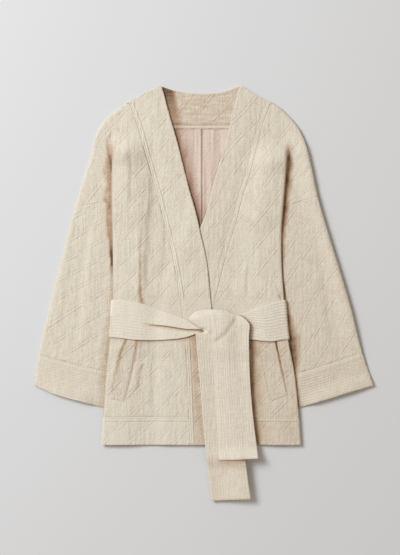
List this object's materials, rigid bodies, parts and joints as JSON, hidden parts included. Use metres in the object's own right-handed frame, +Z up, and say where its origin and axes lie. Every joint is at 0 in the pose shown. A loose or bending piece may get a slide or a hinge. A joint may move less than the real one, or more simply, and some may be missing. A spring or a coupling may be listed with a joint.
{
  "type": "kimono coat",
  "caption": "Cream quilted wrap coat laid flat on its back, wide neckband, belt knotted in front, sleeves folded down beside the body",
  "frame": {"origin": "on the floor under the middle of the laid-out coat's outline, tails included", "axes": "+Y from the tail ends to the neck, +Z up out of the coat's front, +X to the wearer's left"},
  "size_m": [0.7474, 0.91, 0.0269],
  "materials": {
    "shell": "matte",
    "band": "matte",
    "belt": "matte",
    "lining": "matte",
    "piping": "matte"
  },
  "bodies": {
    "root": {"back_panel": "shell", "front_right": "shell", "front_left": "shell", "neckband_right": "band", "neckband_left": "band", "neckband_back": "band", "neck_facing": "band", "lining_piping": "piping", "back_lining": "lining", "hem_band_front_right": "band", "hem_band_front_left": "band", "hem_band_back": "band", "sleeve_right": "shell", "sleeve_left": "shell", "cuff_right": "band", "cuff_left": "band", "pocket_welt_right": "shell", "pocket_welt_left": "shell", "belt_right": "belt", "belt_left": "belt", "belt_back": "belt", "belt_tail_lower": "belt", "belt_tail_upper": "belt", "belt_knot": "belt"}
  },
  "joints": []
}
